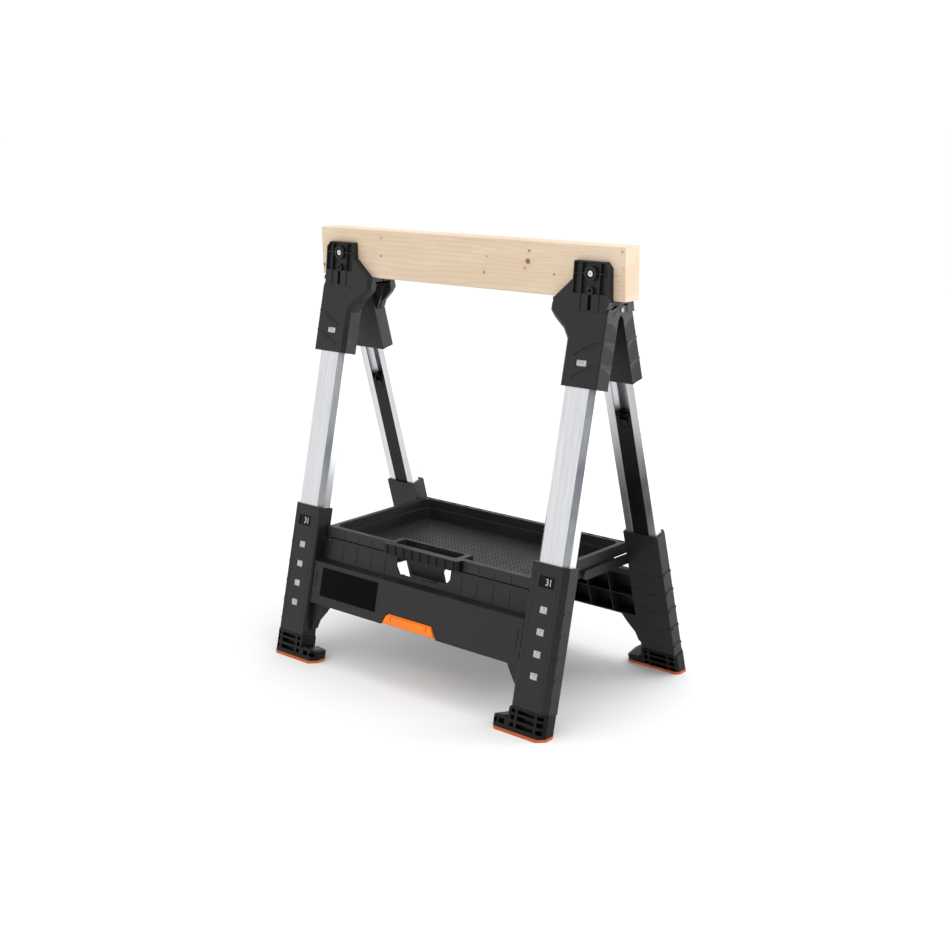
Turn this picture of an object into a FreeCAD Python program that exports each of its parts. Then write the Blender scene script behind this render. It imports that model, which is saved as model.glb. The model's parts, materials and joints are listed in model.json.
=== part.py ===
import FreeCAD, Part
import os

# Folding sawhorse with telescoping legs, a timber beam and a fold-up tray.
#
# Millimetres, +Z up, +X along the beam, -Y towards the front frame.
# The origin is on the floor, midway between the four feet.
#
# Each leg is drawn upright in leg coordinates and then leaned out about the hinge pin:
# u runs along X, t is the distance outwards from the plane through the pin, and s is the
# distance down the leg from the pin. The rear frame is the front one turned half a turn.

Vector = FreeCAD.Vector
os.makedirs("parts", exist_ok=True)

# ---- driving dimensions -------------------------------------------------------------------
LEAN = 14.0                 # degrees, each frame from upright
PIN_Z = 696.0               # height of the hinge line
PIN_RADIUS = 3.0
RUNNING_GAP = 0.05          # radial clearance of pins that turn

BEAM_LENGTH = 720.0         # dressed 2 x 4 timber on edge
BEAM_THICKNESS = 38.0
BEAM_HEIGHT = 89.0
BEAM_EDGE_RADIUS = 2.0
PLATFORM_Z = 712.0          # underside of the beam

LEG_CENTRE = 299.5          # distance of each leg's centre line from the middle, along X
LEG_WIDTH = 75.0
LEG_INNER_T = 6.5
LEG_OUTER_T = 38.5
LEG_TOP_S = 432.0
LEG_BOTTOM_S = 680.0
LEG_CHAMFER = 9.0
LEG_EDGE = 3.0              # small chamfer on the side towards the middle
RIDGE_HEIGHT = 1.6
INNER_RIDGES_S = (674.0,)     # below the panel's gusset
SLIDING_GAP = 0.4           # between a tube and its lower leg

TUBE_WIDTH = 65.6
TUBE_INNER_T = 10.0
TUBE_OUTER_T = 35.0
TUBE_WALL = 2.0
TUBE_CHAMFER = 9.0
TUBE_SLOT = 34.0
TUBE_TOP_S = 24.0
TUBE_BOTTOM_S = 528.0

HEIGHT_STEP = 37.5          # pitch of the height settings
SCALE_WINDOW_S = 462.0
SCALE_WINDOW_HALF = (16.5, 10.0)
FIRST_WINDOW_S = 509.0
WINDOW_HALF = (8.5, 6.0)
WINDOW_COUNT = 4
STRIP_HALF_WIDTH = 12.0
STRIP_THICKNESS = 0.9

RUNNER_TOP_S = 203.0
RUNNER_BOTTOM_S = 524.0
RUNNER_DEPTH = 10.0
LOCK_TRAVEL = 4.0
LOCK_HALF_WIDTH = 9.0

BRACKET_INNER_T = 5.0
BRACKET_OUTER_T = 38.0
BRACKET_TOP_S = 4.0
BRACKET_BOTTOM_S = 136.0
BRACKET_INNER_U = 260.5
FRONT_BRACKET_X = 339.5     # outer face of the front brackets
REAR_BRACKET_X = 335.5      # outer face of the rear brackets, inside the front cheeks
FRONT_BRACKET_CHAMFER = 1.5
REAR_BRACKET_CHAMFER = 6.0
SHOULDER_X = 217.0          # inner end of each bracket's half platform
SHOULDER_T = 18.0
SHOULDER_BEVEL = 7.0
BRACKET_RIDGES_S = (60.0, 97.5)
CHEEK_THICKNESS = 3.8
CHEEK_RADIUS = 7.5
PLATFORM_THICKNESS = 7.5
BROW_Z = 693.5              # where the ear meets the leaning face below it
FAR_FRONT_Y = -60.0         # in front of every bracket

EAR_INNER_X = 262.0
EAR_OUTER_X = 336.5
EAR_TOP_Z = 775.5
EAR_TOP_FRONT_Y = -27.5     # the ear's face slopes outwards from its top to the brow
EAR_BROW_FRONT_Y = -37.9
EAR_RIB = 1.4               # width and height of the ear's thin ribs
EAR_POCKET_DEPTH = 4.5
EAR_EDGE = 2.2              # wall left round the hollows
EAR_UPRIGHT_RIB = (18.3, 19.7)
EAR_SOLID_CORNER = (12.0, 13.0)
SPARE_RING_RADIUS = 6.5
CORNER_TRIM_Z = (685.0, 725.0)
EAR_POCKET_LOW_Z = 723.0
BOLT_Z = 756.0
BOLT_RADIUS = 3.0
BOLT_HEAD_RADIUS = 5.0
BOLT_TIP_Y = 8.0
BOSS_RADIUS = 12.0
BOSS_RECESS_RADIUS = 8.0
BOSS_FRONT_Y = -33.5
BOLT_SEAT_Y = -30.0
SPARE_HOLE_Z = 728.5

FOOT_TOE_X = 222.5
FOOT_GROW = 1.5
FOOT_CHAMFER = 10.0
FOOT_BACK_CHAMFER = 6.0
FOOT_ROWS_S = ((683.5, 690.0), (694.0, 702.0), (707.0, 714.5))
FOOT_COLUMNS_U = ((266.0, 274.0), (279.5, 316.5), (322.0, 333.5))
TOE_POCKETS = ((227.0, 238.0, 707.0, 714.5), (242.0, 254.0, 705.5, 714.5))
FOOT_POCKET_DEPTH = 11.0
PAD_THICKNESS = 5.0
PAD_FRONT_Y = -216.0
PAD_BACK_Y = -178.0
PAD_OVERHANG = 0.8

PANEL_HALF = LEG_CENTRE - LEG_WIDTH / 2
PANEL_BAND_S = 527.0        # where the recessed upper band ends
PANEL_LOWER_TOP_S = 533.5   # where the sloping ledge meets the lower band
PANEL_BOTTOM_S = 613.5
FRONT_PANEL_TOP_S = 486.3
REAR_PANEL_TOP_S = 514.0
PANEL_UPPER_T = 16.0
PANEL_LOWER_T = 34.0
PANEL_BACK_T = 7.0
PANEL_WALL = 3.0
RIB_THICKNESS = 2.4
RIB_PITCH = 52.0
CROSS_RIB_S = 570.0
PANEL_LIP_Y = (-126.5, -123.6)   # lip behind the tray's hinge line that closes the gap
GROOVE_DEPTH = 0.7
GROOVE_HALF = 0.8
BAND_GROOVES_U = (95.0, 132.5, 170.0, 207.5)
END_SLOTS = ((260.6, 536.0, 546.0), (260.6, 552.0, 583.0), (260.6, 589.0, 602.0), (250.8, 552.0, 583.0))
HAND_NOTCH_TOP = 67.0       # half widths and depth of the hand notch
HAND_NOTCH_LOW = 56.0
HAND_NOTCH_S = 519.0

BADGE_U = (-236.0, -89.0)
BADGE_S = (542.0, 596.0)
BADGE_THICKNESS = 1.2

TRAY_HALF = 253.0
TRAY_FRONT_Y = -133.0
TRAY_REAR_Y = 137.0
TRAY_TOP_Z = 250.0
TRAY_SKIRT_Z = 230.0
TRAY_FLOOR_Z = 212.0
TRAY_LEDGE_Z = 233.5
TRAY_FLOOR_THICKNESS = 3.0
TRAY_RIM = 10.0             # width of the flat rim
TRAY_STEP = 17.0            # from the outside to the basin's wall
TRAY_CORNER = 14.0
TRAY_HINGE = (-130.0, 226.0)    # Y and Z of the line the tray turns about
TRAY_PIN_RADIUS = 2.0
TRAY_EAR_RADIUS = 4.0
TRAY_EAR_X = (246.5, 252.5)
PIN_SEAT = 3.5              # how far stub axles go into a leg
RIM_NOTCHES_X = (104, 138, 172, 206, 240)
HANDLE_HALF = 94.0
HANDLE_LOW_Z = 231.0
HANDLE_DEPTH = 12.0
HANDLE_RIBS = 9
GRIP_HALF = 76.0
GRIP_REAR_Y = -103.0
GUARD_HALF = 43.0
GUARD_LOW_Y = -124.5
GUARD_LOW_Z = 194.0

LINK_PIVOT = (132.0, 221.0)     # Y and Z where the side links turn on the rear legs
LINK_TIP_Y = 8.0
LINK_HALF_HEIGHT = 8.5
LINK_PIN_RADIUS = 3.0

LATCH_TOP_HALF = 54.0
LATCH_LOW_HALF = 66.0
LATCH_TOP_S = 592.0
LATCH_LOW_S = 611.5
LATCH_ROOF_S = 590.0
LATCH_PIVOT_S = 598.0
LATCH_PIVOT_T = 24.0
LATCH_PIN_RADIUS = 2.5
LATCH_CHEEK_U = 72.0
HOOK_HALF = 18.0

X_AXIS = Vector(1, 0, 0)
Y_AXIS = Vector(0, 1, 0)
Z_AXIS = Vector(0, 0, 1)
SIDES = {"left": -1, "right": 1}


# ---- helpers ------------------------------------------------------------------------------
def box(x0, x1, y0, y1, z0, z1):
    """A box between two corners."""
    return Part.makeBox(x1 - x0, y1 - y0, z1 - z0, Vector(x0, y0, z0))


def leg_box(u0, u1, t0, t1, s0, s1):
    """A box given in leg coordinates, before the leg is leaned out."""
    return box(u0, u1, -t1, -t0, -s1, -s0)


def prism(points, direction):
    """Extrude a closed polygon of vectors."""
    wire = Part.makePolygon(list(points) + [points[0]])
    return Part.Face(wire).extrude(direction)


def leg_plate(outline, t0, t1):
    """A plate whose outline is given as (u, s) points."""
    points = [Vector(u, -t1, -s) for u, s in outline]
    return prism(points, Vector(0, t1 - t0, 0))


def leg_section(outline, s0, s1):
    """A length of leg whose section is given as (u, t) points."""
    points = [Vector(u, -t, -s1) for u, t in outline]
    return prism(points, Vector(0, 0, s1 - s0))


def rod(radius, start, end):
    """A round bar between two points."""
    span = Vector(*end) - Vector(*start)
    return Part.makeCylinder(radius, span.Length, Vector(*start), span)


def fuse_all(shapes):
    """One solid out of touching ones."""
    shapes = list(shapes)
    return shapes[0].multiFuse(shapes[1:]).removeSplitter()


def cut_all(shape, tools):
    """Cut a list of tools out of a shape."""
    for tool in tools:
        shape = shape.cut(tool)
    return shape


def flip(shape, side):
    """A right-hand shape as it is, or its left-hand twin."""
    if side > 0:
        return shape
    return shape.mirror(Vector(0, 0, 0), X_AXIS)


def lean(shape):
    """Lean an upright front leg out about the hinge line and lift it to its height."""
    leaned = shape.copy()
    leaned.rotate(Vector(0, 0, 0), X_AXIS, -LEAN)
    leaned.translate(Vector(0, 0, PIN_Z))
    return leaned


def to_rear(shape):
    """Turn a front piece round to the rear frame."""
    turned = shape.copy()
    turned.rotate(Vector(0, 0, 0), Z_AXIS, 180)
    return turned


def save(name, shape):
    """Write one node."""
    if not shape.isValid():
        print("NOT VALID", name)
    shape.exportStep("parts/" + name + ".step")
    print(name, len(shape.Solids), "solids", round(shape.Volume / 1000, 1), "cm3")


def above(z):
    """All the space above a height."""
    return box(-600, 600, -600, 600, z, 1500)


# ---- upper legs ---------------------------------------------------------------------------
def tube_outline(grow=0.0):
    """Outer section of the channel, with its two outer corners chamfered."""
    half = TUBE_WIDTH / 2 + grow
    inner = TUBE_INNER_T - grow
    outer = TUBE_OUTER_T + grow
    return [
        (LEG_CENTRE - half, inner),
        (LEG_CENTRE + half, inner),
        (LEG_CENTRE + half, outer - TUBE_CHAMFER),
        (LEG_CENTRE + half - TUBE_CHAMFER, outer),
        (LEG_CENTRE - half + TUBE_CHAMFER, outer),
        (LEG_CENTRE - half, outer - TUBE_CHAMFER),
    ]


def tube():
    """Aluminium channel, open towards the opposite frame between two lips."""
    outer = leg_section(tube_outline(), TUBE_TOP_S, TUBE_BOTTOM_S)
    inner = leg_section(tube_outline(-TUBE_WALL), TUBE_TOP_S - 1, TUBE_BOTTOM_S + 1)
    slot = leg_box(LEG_CENTRE - TUBE_SLOT / 2, LEG_CENTRE + TUBE_SLOT / 2,
                   TUBE_INNER_T - 1, TUBE_INNER_T + TUBE_WALL + 1, TUBE_TOP_S - 1, TUBE_BOTTOM_S + 1)
    return outer.cut(inner).cut(slot)


def lock_pocket(gap):
    """Space for a height lock tab at the head of a runner."""
    half = LOCK_HALF_WIDTH + gap
    return leg_box(LEG_CENTRE - half, LEG_CENTRE + half, TUBE_INNER_T - 2, TUBE_INNER_T + 7 + gap,
                   RUNNER_TOP_S + 4 - LOCK_TRAVEL, RUNNER_TOP_S + 18 + gap)


def runner():
    """Plastic insert that fills the channel's slot below the hollow top."""
    lip = TUBE_INNER_T + TUBE_WALL
    tongue = leg_box(LEG_CENTRE - TUBE_SLOT / 2, LEG_CENTRE + TUBE_SLOT / 2,
                     TUBE_INNER_T + 0.2, lip, RUNNER_TOP_S, RUNNER_BOTTOM_S)
    core = leg_box(LEG_CENTRE - 26, LEG_CENTRE + 26, lip, lip + RUNNER_DEPTH,
                   RUNNER_TOP_S, RUNNER_BOTTOM_S)
    hollow = leg_box(LEG_CENTRE - 22, LEG_CENTRE + 22, lip + 3, lip + RUNNER_DEPTH + 1,
                     RUNNER_TOP_S + 30, RUNNER_BOTTOM_S + 1)
    return fuse_all([tongue, core]).cut(hollow).cut(lock_pocket(0.3))


def lock_tab():
    """Trapezoid finger tab that pulls the height lock back."""
    s_top = RUNNER_TOP_S + 5
    s_low = RUNNER_TOP_S + 17.5
    plate = leg_plate([(LEG_CENTRE - 6, s_top), (LEG_CENTRE + 6, s_top),
                       (LEG_CENTRE + 8.5, s_low), (LEG_CENTRE - 8.5, s_low)],
                      TUBE_INNER_T, TUBE_INNER_T + 6.5)
    lip = leg_box(LEG_CENTRE - 6, LEG_CENTRE + 6, TUBE_INNER_T - 1.5, TUBE_INNER_T + 1,
                  s_top, s_top + 3)
    return fuse_all([plate, lip])


# ---- brackets -----------------------------------------------------------------------------
def ear_face_y(z):
    """Where the ear's sloping face is at a height."""
    slope = (EAR_BROW_FRONT_Y - EAR_TOP_FRONT_Y) / (EAR_TOP_Z - BROW_Z)
    return EAR_TOP_FRONT_Y + slope * (EAR_TOP_Z - z)


def cheek(outer_x):
    """Side plate that carries the hinge pin, drawn for the front frame."""
    inner_x = outer_x - CHEEK_THICKNESS
    disc = Part.makeCylinder(CHEEK_RADIUS, CHEEK_THICKNESS, Vector(inner_x, 0, 0), X_AXIS)
    outline = [(3.0, 7.0), (-7.0, 8.3), (-26.0, 2.0), (-34.0, -20.0), (-16.0, -34.0),
               (-8.6, -15.0), (-2.0, -7.0), (3.0, -6.0)]
    points = [Vector(inner_x, y, z) for y, z in outline]
    both = prism(points, Vector(CHEEK_THICKNESS, 0, 0)).fuse(disc)
    both.translate(Vector(0, 0, PIN_Z))
    return both


def sleeve(outer_x, chamfer):
    """Closed box round the channel, chamfered on its two outer corners."""
    outline = [(BRACKET_INNER_U, BRACKET_INNER_T), (outer_x, BRACKET_INNER_T),
               (outer_x, BRACKET_OUTER_T - chamfer), (outer_x - chamfer, BRACKET_OUTER_T),
               (BRACKET_INNER_U + SHOULDER_BEVEL, BRACKET_OUTER_T),
               (BRACKET_INNER_U, BRACKET_OUTER_T - SHOULDER_BEVEL)]
    return lean(leg_section(outline, BRACKET_TOP_S, BRACKET_BOTTOM_S))


def shoulder():
    """Swept shoulder that carries the inner end of the half platform, with a bevelled edge."""
    inner = BRACKET_INNER_U
    outline = [(SHOULDER_X, 0), (SHOULDER_X, 13), (227, 24), (250, 42), (inner, 58),
               (inner + 12, 70), (inner + 12, 0)]
    plate = leg_plate(outline, SHOULDER_T, BRACKET_OUTER_T)
    bevelled = [e for e in plate.Edges
                if all(abs(v.Y + BRACKET_OUTER_T) < 0.01 and v.X < inner + 1 for v in e.Vertexes)]
    web = leg_plate([(SHOULDER_X + 6, 0), (inner + 2, 0), (inner + 2, 60), (inner - 2, 52)],
                    BRACKET_INNER_T + 5, SHOULDER_T + 1)
    return [lean(plate.makeChamfer(SHOULDER_BEVEL, bevelled)), lean(web)]


def bracket_relief():
    """Raised details on the ear: bolt boss, ring, ribs."""
    back = EAR_TOP_FRONT_Y + 2
    boss = rod(BOSS_RADIUS, (LEG_CENTRE, BOSS_FRONT_Y, BOLT_Z), (LEG_CENTRE, back, BOLT_Z))
    ring_front = ear_face_y(SPARE_HOLE_Z) - 1.5
    ring = rod(SPARE_RING_RADIUS, (LEG_CENTRE, ring_front, SPARE_HOLE_Z), (LEG_CENTRE, back, SPARE_HOLE_Z))
    shapes = [boss, ring]
    for offset in (-19, 19):
        low = 697.0
        high = EAR_TOP_Z - 2
        profile = [(ear_face_y(low) - EAR_RIB, low), (ear_face_y(high) - EAR_RIB, high),
                   (back, high), (back, low)]
        x = LEG_CENTRE + offset - EAR_RIB / 2
        shapes.append(prism([Vector(x, y, z) for y, z in profile], Vector(EAR_RIB, 0, 0)))
    shapes.append(box(EAR_INNER_X + 4, EAR_OUTER_X - 4, ear_face_y(BOLT_Z) - EAR_RIB, back,
                      BOLT_Z - EAR_RIB / 2, BOLT_Z + EAR_RIB / 2))
    return shapes


def wave_groove(outer_x, s):
    """Decorative groove that runs in from the outer edge of the face and turns down."""
    outline = [(outer_x + 1, s - 1), (326, s - 1), (296.4, s + 14), (283, s + 24.2), (284.2, s + 25.9),
               (297.4, s + 15.9), (326.6, s + 1), (outer_x + 1, s + 1)]
    return lean(leg_plate(outline, BRACKET_OUTER_T - 1.2, BRACKET_OUTER_T + 1))


def front_space():
    """Everything in front of the ear's sloping face, above the brow."""
    high = EAR_TOP_Z + 5
    profile = [(ear_face_y(BROW_Z), BROW_Z), (ear_face_y(high), high), (FAR_FRONT_Y - 1, high),
               (FAR_FRONT_Y - 1, BROW_Z - 8), (EAR_BROW_FRONT_Y - 4, BROW_Z - 8)]
    return prism([Vector(200, y, z) for y, z in profile], Vector(200, 0, 0))


def ear_and_platform(outer_x, ear_back):
    """Upright ear and the half platform under the timber."""
    outline = [(EAR_INNER_X + 1.5, EAR_TOP_Z), (EAR_OUTER_X - 8.5, EAR_TOP_Z),
               (EAR_OUTER_X, EAR_TOP_Z - 9.5), (EAR_OUTER_X, 690), (SHOULDER_X, 690), (SHOULDER_X, 706),
               (EAR_INNER_X, 746), (EAR_INNER_X, EAR_TOP_Z - 1.5)]
    ear = prism([Vector(x, FAR_FRONT_Y, z) for x, z in outline], Vector(0, ear_back - FAR_FRONT_Y, 0))
    platform = box(SHOULDER_X, outer_x, FAR_FRONT_Y, -1.5, PLATFORM_Z - PLATFORM_THICKNESS, PLATFORM_Z)
    corner = [(SHOULDER_X - 1, -44), (SHOULDER_X + 13, -44), (SHOULDER_X - 1, -27)]
    corner_trim = prism([Vector(x, y, CORNER_TRIM_Z[0]) for x, y in corner],
                        Vector(0, 0, CORNER_TRIM_Z[1] - CORNER_TRIM_Z[0]))
    return cut_all(fuse_all([ear, platform]), [front_space(), corner_trim])


def bracket_sleeve(outer_x, chamfer):
    """The sleeve with its top trimmed back to the ear, and two ridges on its side."""
    profile = [(ear_face_y(BROW_Z), BROW_Z), (-20, BROW_Z + 30), (FAR_FRONT_Y, BROW_Z + 30),
               (FAR_FRONT_Y, BROW_Z)]
    trim = prism([Vector(200, y, z) for y, z in profile], Vector(200, 0, 0))
    tip = outer_x + 1.2
    base = outer_x - 1
    ridges = [lean(leg_plate([(base, s - 2.5), (tip, s - 1.5), (tip, s + 1.5), (base, s + 2.5)],
                             BRACKET_INNER_T + 1, BRACKET_OUTER_T - chamfer)) for s in BRACKET_RIDGES_S]
    return [sleeve(outer_x, chamfer).cut(trim)] + ridges


def bracket_openings(outer_x, ear_back):
    """Room for the timber and the channel, with the holes, slot, window and grooves."""
    timber_room = box(200, 400, -60, 60, PLATFORM_Z, PLATFORM_Z + 100).cut(
        box(200, 400, -60, ear_back, PLATFORM_Z - 1, PLATFORM_Z + 101))
    channel = lean(leg_section(tube_outline(), TUBE_TOP_S, BRACKET_BOTTOM_S + 1))
    x = LEG_CENTRE
    recess = rod(BOSS_RECESS_RADIUS, (x, BOSS_FRONT_Y - 1, BOLT_Z), (x, BOLT_SEAT_Y, BOLT_Z))
    bolt_hole = rod(BOLT_RADIUS, (x, -40, BOLT_Z), (x, 0, BOLT_Z))
    spare_hole = rod(BOLT_RADIUS, (x, -45, SPARE_HOLE_Z), (x, 0, SPARE_HOLE_Z))
    slot = box(x - 3.6, x + 3.6, -45, -29, 696.5, 721.5)
    window = lean(leg_box(290, 312, BRACKET_OUTER_T - 4, BRACKET_OUTER_T + 1, 90.5, 100.5))
    grooves = [wave_groove(outer_x, s) for s in BRACKET_RIDGES_S]
    return [timber_room, channel, recess, bolt_hole, spare_hole, slot, window] + grooves


def ear_pockets():
    """Hollows between the ear's ribs, round the bolt boss and the ring below it."""
    near, far = EAR_UPRIGHT_RIB
    columns = [(EAR_INNER_X + EAR_EDGE, LEG_CENTRE - far), (LEG_CENTRE - near, LEG_CENTRE + near),
               (LEG_CENTRE + far, EAR_OUTER_X - EAR_EDGE)]
    rows = [(EAR_POCKET_LOW_Z, BOLT_Z - EAR_RIB / 2), (BOLT_Z + EAR_RIB / 2, EAR_TOP_Z - EAR_EDGE)]
    pockets = []
    for x0, x1 in columns:
        for z0, z1 in rows:
            profile = [(FAR_FRONT_Y, z0), (ear_face_y(z0) + EAR_POCKET_DEPTH, z0),
                       (ear_face_y(z1) + EAR_POCKET_DEPTH, z1), (FAR_FRONT_Y, z1)]
            pockets.append(prism([Vector(x0, y, z) for y, z in profile], Vector(x1 - x0, 0, 0)))
    cut_x, cut_z = EAR_SOLID_CORNER
    corner = prism([Vector(x, FAR_FRONT_Y - 1, z) for x, z in
                    ((EAR_OUTER_X - cut_x, EAR_TOP_Z), (EAR_OUTER_X, EAR_TOP_Z),
                     (EAR_OUTER_X, EAR_TOP_Z - cut_z))],
                   Vector(0, -2 * FAR_FRONT_Y, 0))
    boss = rod(BOSS_RADIUS, (LEG_CENTRE, FAR_FRONT_Y - 1, BOLT_Z), (LEG_CENTRE, 0, BOLT_Z))
    ring = rod(6.5, (LEG_CENTRE, FAR_FRONT_Y - 1, SPARE_HOLE_Z), (LEG_CENTRE, 0, SPARE_HOLE_Z))
    return [cut_all(pocket, [boss, ring, corner]) for pocket in pockets]


def bracket(outer_x, chamfer, ear_gap):
    """Plastic head of a right-hand front leg: ear, half platform, sleeve and hinge cheek."""
    ear_back = -BEAM_THICKNESS / 2 - ear_gap
    solids = [ear_and_platform(outer_x, ear_back), cheek(outer_x)]
    solids += bracket_sleeve(outer_x, chamfer)
    solids += [shape.cut(front_space()) for shape in shoulder()]
    solids += bracket_relief()
    return cut_all(fuse_all(solids), bracket_openings(outer_x, ear_back) + ear_pockets())


def hinge_room(x0, x1, radius):
    """Round space about the hinge line for the other frame's cheek."""
    return rod(radius, (x0, 0, PIN_Z), (x1, 0, PIN_Z))


def front_bracket():
    """Front bracket with a tight pin hole and room for the rear cheek."""
    head = bracket(FRONT_BRACKET_X, FRONT_BRACKET_CHAMFER, 0.0)
    inner_x = REAR_BRACKET_X - CHEEK_THICKNESS - 0.4
    room = hinge_room(inner_x, REAR_BRACKET_X + 0.2, CHEEK_RADIUS + 0.5)
    return head.cut(room).cut(hinge_room(300, 360, PIN_RADIUS))


def rear_bracket():
    """Rear bracket, free to turn on the pin and to leave the timber."""
    head = bracket(REAR_BRACKET_X, REAR_BRACKET_CHAMFER, 0.3)
    return head.cut(hinge_room(300, 360, PIN_RADIUS + RUNNING_GAP))


def hinge_pin():
    """Headed pin through a front and a rear cheek."""
    shank = rod(PIN_RADIUS, (REAR_BRACKET_X - CHEEK_THICKNESS - 1.5, 0, PIN_Z), (FRONT_BRACKET_X, 0, PIN_Z))
    head = rod(PIN_RADIUS + 1.0, (FRONT_BRACKET_X, 0, PIN_Z), (FRONT_BRACKET_X + 1.5, 0, PIN_Z))
    return fuse_all([shank, head])


def clamp_bolt():
    """Screw through a front ear into the timber."""
    shank = rod(BOLT_RADIUS, (LEG_CENTRE, BOLT_SEAT_Y, BOLT_Z), (LEG_CENTRE, BOLT_TIP_Y, BOLT_Z))
    head = rod(BOLT_HEAD_RADIUS, (LEG_CENTRE, BOLT_SEAT_Y - 3.0, BOLT_Z), (LEG_CENTRE, BOLT_SEAT_Y, BOLT_Z))
    socket = rod(2.2, (LEG_CENTRE, BOLT_SEAT_Y - 4.0, BOLT_Z), (LEG_CENTRE, BOLT_SEAT_Y - 1.5, BOLT_Z))
    return fuse_all([shank, head]).cut(socket)


def beam():
    """Timber beam with pilot holes for the clamp bolts."""
    half = BEAM_LENGTH / 2
    timber = box(-half, half, -BEAM_THICKNESS / 2, BEAM_THICKNESS / 2, PLATFORM_Z, PLATFORM_Z + BEAM_HEIGHT)
    edges = [e for e in timber.Edges if abs(e.tangentAt(0).x) > 0.9]
    timber = timber.makeFillet(BEAM_EDGE_RADIUS, edges)
    holes = [rod(BOLT_RADIUS, (side * LEG_CENTRE, -40, BOLT_Z), (side * LEG_CENTRE, BOLT_TIP_Y, BOLT_Z))
             for side in (-1, 1)]
    return cut_all(timber, holes)


# ---- lower legs ---------------------------------------------------------------------------
def window_positions():
    """Distance down the leg of each small height window."""
    return [FIRST_WINDOW_S + i * HEIGHT_STEP for i in range(WINDOW_COUNT)]


def window_box(half, s):
    """Opening through the leg's outer wall."""
    return leg_box(LEG_CENTRE - half[0], LEG_CENTRE + half[0], TUBE_OUTER_T - 1, LEG_OUTER_T + 1,
                   s - half[1], s + half[1])


def strip_space():
    """Where the scale strip lies behind the windows."""
    face = TUBE_OUTER_T + SLIDING_GAP
    margin = 11.0
    return leg_box(LEG_CENTRE - STRIP_HALF_WIDTH, LEG_CENTRE + STRIP_HALF_WIDTH,
                   face - 1, face + STRIP_THICKNESS, FIRST_WINDOW_S - margin,
                   FIRST_WINDOW_S + (WINDOW_COUNT - 1) * HEIGHT_STEP + margin)


def lower_leg():
    """Hollow plastic leg with height windows, side ridges and room for the channel."""
    half = LEG_WIDTH / 2
    inner_u = LEG_CENTRE - half
    outer_u = LEG_CENTRE + half
    outline = [(inner_u, LEG_INNER_T), (outer_u, LEG_INNER_T), (outer_u, LEG_OUTER_T - LEG_CHAMFER),
               (outer_u - LEG_CHAMFER, LEG_OUTER_T), (inner_u + LEG_EDGE, LEG_OUTER_T),
               (inner_u, LEG_OUTER_T - LEG_EDGE)]
    body = leg_section(outline, LEG_TOP_S, LEG_BOTTOM_S)
    tip = outer_u + RIDGE_HEIGHT
    ridges = [leg_plate([(outer_u - 2, s - 3), (tip, s - 2), (tip, s + 2), (outer_u - 2, s + 3)],
                        LEG_INNER_T + 3, LEG_OUTER_T - LEG_CHAMFER)
              for s in window_positions() + [FIRST_WINDOW_S + WINDOW_COUNT * HEIGHT_STEP]]
    inner_tip = inner_u - 2.0
    root = inner_u + 2
    ridges += [leg_plate([(root, s - 3.5), (inner_tip, s), (inner_tip, s + 3), (root, s + 3.5)],
                         LEG_INNER_T + 3, LEG_OUTER_T - 6) for s in INNER_RIDGES_S]
    cavity = leg_section(tube_outline(SLIDING_GAP), LEG_TOP_S - 1, LEG_BOTTOM_S + 1)
    windows = [window_box(WINDOW_HALF, s) for s in window_positions()]
    windows.append(window_box(SCALE_WINDOW_HALF, SCALE_WINDOW_S))
    return cut_all(fuse_all([body] + ridges), [cavity, strip_space()] + windows)


def scale_plate():
    """Height label that fills the top window."""
    half_u, half_s = SCALE_WINDOW_HALF
    return lean(leg_box(LEG_CENTRE - half_u, LEG_CENTRE + half_u, LEG_OUTER_T - 2.2, LEG_OUTER_T - 1.2,
                        SCALE_WINDOW_S - half_s, SCALE_WINDOW_S + half_s))


def scale_strip():
    """Bright metal strip seen through the small windows."""
    behind_windows = leg_box(200, 400, TUBE_OUTER_T + SLIDING_GAP, LEG_OUTER_T, LEG_TOP_S, LEG_BOTTOM_S)
    return lean(strip_space().common(behind_windows))


def foot():
    """Foot block under a right-hand front leg, with a toe towards the middle and rib pockets."""
    inner_u = LEG_CENTRE - LEG_WIDTH / 2 - FOOT_GROW
    outer_u = LEG_CENTRE + LEG_WIDTH / 2 + FOOT_GROW
    inner_t = LEG_INNER_T - FOOT_GROW
    outer_t = LEG_OUTER_T + FOOT_GROW
    low = 760.0
    outline = [(inner_u + 2, LEG_BOTTOM_S), (outer_u, LEG_BOTTOM_S), (outer_u, low), (FOOT_TOE_X, low),
               (FOOT_TOE_X, 708), (FOOT_TOE_X + 3, 703), (FOOT_TOE_X + 10, 700.5), (inner_u - 8, 699),
               (inner_u, 704), (inner_u, LEG_BOTTOM_S + 4)]
    block = leg_plate(outline, inner_t, outer_t)
    plan = [(FOOT_TOE_X, inner_t + FOOT_BACK_CHAMFER), (FOOT_TOE_X + FOOT_BACK_CHAMFER, inner_t),
            (outer_u - FOOT_BACK_CHAMFER, inner_t), (outer_u, inner_t + FOOT_BACK_CHAMFER),
            (outer_u, outer_t - FOOT_CHAMFER), (outer_u - FOOT_CHAMFER, outer_t),
            (FOOT_TOE_X + FOOT_CHAMFER, outer_t), (FOOT_TOE_X, outer_t - FOOT_CHAMFER)]
    block = block.common(leg_section(plan, LEG_BOTTOM_S, low))
    pockets = []
    for u0, u1 in FOOT_COLUMNS_U:
        for s0, s1 in FOOT_ROWS_S:
            pockets.append(leg_box(u0, u1, outer_t - FOOT_POCKET_DEPTH, outer_t + 1, s0, s1))
            pockets.append(leg_box(u0, u1, inner_t - 1, inner_t + FOOT_POCKET_DEPTH, s0 - 1, s1 - 1))
    for u0, u1, s0, s1 in TOE_POCKETS:
        pockets.append(leg_box(u0, u1, outer_t - FOOT_POCKET_DEPTH, outer_t + 1, s0, s1))
    return lean(cut_all(block, pockets)).common(above(PAD_THICKNESS))


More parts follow.
